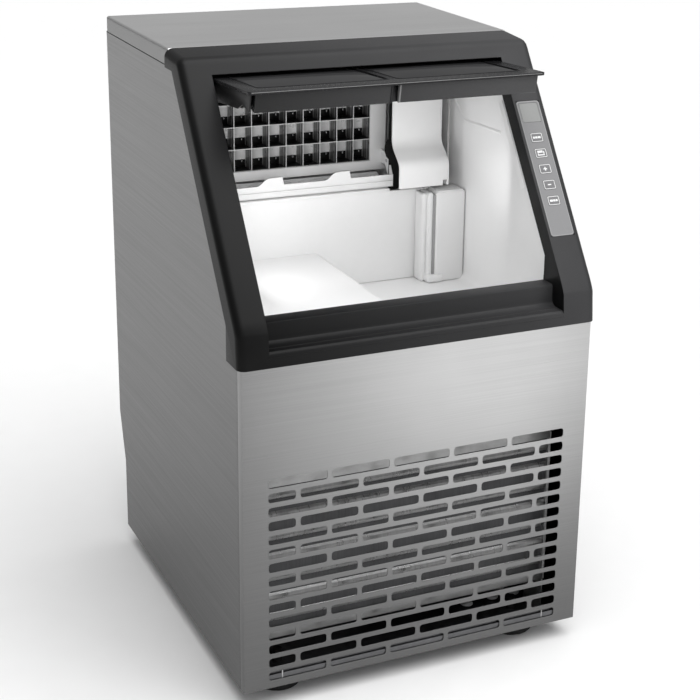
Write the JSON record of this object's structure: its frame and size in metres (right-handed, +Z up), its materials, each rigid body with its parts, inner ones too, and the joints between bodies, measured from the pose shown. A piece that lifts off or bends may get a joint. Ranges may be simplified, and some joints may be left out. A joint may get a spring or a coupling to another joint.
{
  "type": "ice maker",
  "caption": "Free-standing stainless ice maker with a sloping door that tips up over an ice bin, cell evaporator, pump, fan and grille.",
  "frame": {"origin": "middle of the bounding box's underside, at the bottom of the feet", "axes": "+X to the machine's left as it faces the user (right in a front view), +Y to its back, +Z up"},
  "size_m": [0.386, 0.4274, 0.6307],
  "materials": {
    "stainless": "horizontally brushed",
    "galvanised": "galvanised, satin",
    "fan_metal": "satin",
    "fins": "fine fins",
    "black_plastic": "satin moulded",
    "grey_membrane": "satin film",
    "smoked": "clear tinted",
    "white_plastic": "satin moulded",
    "insulation": "foam",
    "tinned": "tinned",
    "copper": "bright copper",
    "black_paint": "semi-gloss",
    "rubber": "matte"
  },
  "bodies": {
    "cabinet": {"back_panel": "galvanised", "base_pan": "galvanised", "bin_liner": "white_plastic", "circulation_pump": "black_plastic", "compressor": "black_paint", "compressor_mount": "galvanised", "condenser": "fins", "control_box": "galvanised", "control_overlay": "grey_membrane", "discharge_tube": "copper", "display_window": "smoked", "door_track_left": "white_plastic", "door_track_right": "white_plastic", "drain_outlet": "black_plastic", "evaporator_coil": "copper", "evaporator_grid": "tinned", "evaporator_surround": "white_plastic", "fan_motor": "black_paint", "fan_shroud": "galvanised", "filter_drier": "copper", "flap_pin_left": "tinned", "flap_pin_right": "tinned", "float_stem": "white_plastic", "foam_left": "insulation", "foam_right": "insulation", "front_grille_panel": "stainless", "ice_sensor": "black_plastic", "ice_slide": "white_plastic", "inlet_valve": "white_plastic", "left_side_panel": "stainless", "liquid_tube": "copper", "mains_socket": "black_plastic", "motor_bracket": "galvanised", "pump_housing": "white_plastic", "right_side_panel": "stainless", "suction_tube": "copper", "top_cover": "stainless", "upper_cover": "white_plastic", "water_distributor": "white_plastic", "water_inlet": "tinned", "water_riser": "white_plastic", "water_tank": "white_plastic", "window_frame": "black_plastic"},
    "door_carrier": {"guide_pin_left": "tinned", "guide_pin_right": "tinned"},
    "door": {"door_frame": "black_plastic", "door_window": "smoked"},
    "ice_flap": {"ice_flap": "white_plastic"},
    "condenser_fan": {"condenser_fan": "fan_metal"},
    "pump_impeller": {"pump_impeller": "white_plastic"},
    "float": {"float_body": "white_plastic"},
    "key_clean": {"key_clean": "grey_membrane"},
    "key_minus": {"key_minus": "grey_membrane"},
    "key_plus": {"key_plus": "grey_membrane"},
    "key_timer": {"key_timer": "grey_membrane"},
    "key_power": {"key_power": "grey_membrane"},
    "foot_front_left": {"foot_front_left": "rubber"},
    "foot_front_right": {"foot_front_right": "rubber"},
    "foot_rear_left": {"foot_rear_left": "rubber"},
    "foot_rear_right": {"foot_rear_right": "rubber"}
  },
  "joints": [
    {"name": "door_slide", "type": "slide", "parent": "cabinet", "child": "door_carrier", "axis": [0, -1, 0], "range_m": [0, 0.1584]},
    {"name": "door_tilt", "type": "hinge", "parent": "door_carrier", "child": "door", "pos_m": [-0.00375, 0.09542, 0.58826], "axis": [1, 0, 0], "range_deg": [0, 58]},
    {"name": "flap_hinge", "type": "hinge", "parent": "cabinet", "child": "ice_flap", "pos_m": [-0.024, 0.05135, 0.482], "axis": [-1, 0, 0], "range_deg": [0, 60]},
    {"name": "fan_spin", "type": "hinge", "parent": "cabinet", "child": "condenser_fan", "pos_m": [-0.001, -0.13165, 0.15], "axis": [0, 1, 0], "continuous": true},
    {"name": "impeller_spin", "type": "hinge", "parent": "cabinet", "child": "pump_impeller", "pos_m": [0.127, 0.08935, 0.3705], "axis": [0, 0, 1], "continuous": true},
    {"name": "float_rise", "type": "slide", "parent": "cabinet", "child": "float", "axis": [0, 0, 1], "range_m": [0, 0.012]},
    {"name": "press_clean", "type": "slide", "parent": "cabinet", "child": "key_clean", "axis": [0, 0.8192, -0.5736], "range_m": [0, 0.0006], "stiffness_N_per_m": 800},
    {"name": "press_minus", "type": "slide", "parent": "cabinet", "child": "key_minus", "axis": [0, 0.8192, -0.5736], "range_m": [0, 0.0006], "stiffness_N_per_m": 800},
    {"name": "press_plus", "type": "slide", "parent": "cabinet", "child": "key_plus", "axis": [0, 0.8192, -0.5736], "range_m": [0, 0.0006], "stiffness_N_per_m": 800},
    {"name": "press_timer", "type": "slide", "parent": "cabinet", "child": "key_timer", "axis": [0, 0.8192, -0.5736], "range_m": [0, 0.0006], "stiffness_N_per_m": 800},
    {"name": "press_power", "type": "slide", "parent": "cabinet", "child": "key_power", "axis": [0, 0.8192, -0.5736], "range_m": [0, 0.0006], "stiffness_N_per_m": 800},
    {"name": "level_front_left", "type": "slide", "parent": "cabinet", "child": "foot_front_left", "axis": [0, 0, -1], "range_m": [0, 0.01]},
    {"name": "level_front_right", "type": "slide", "parent": "cabinet", "child": "foot_front_right", "axis": [0, 0, -1], "range_m": [0, 0.01]},
    {"name": "level_rear_left", "type": "slide", "parent": "cabinet", "child": "foot_rear_left", "axis": [0, 0, -1], "range_m": [0, 0.01]},
    {"name": "level_rear_right", "type": "slide", "parent": "cabinet", "child": "foot_rear_right", "axis": [0, 0, -1], "range_m": [0, 0.01]}
  ],
  "couplings": [
    {"joint": "door_tilt", "follows": "door_slide", "rad_per_m": 6.39}
  ]
}
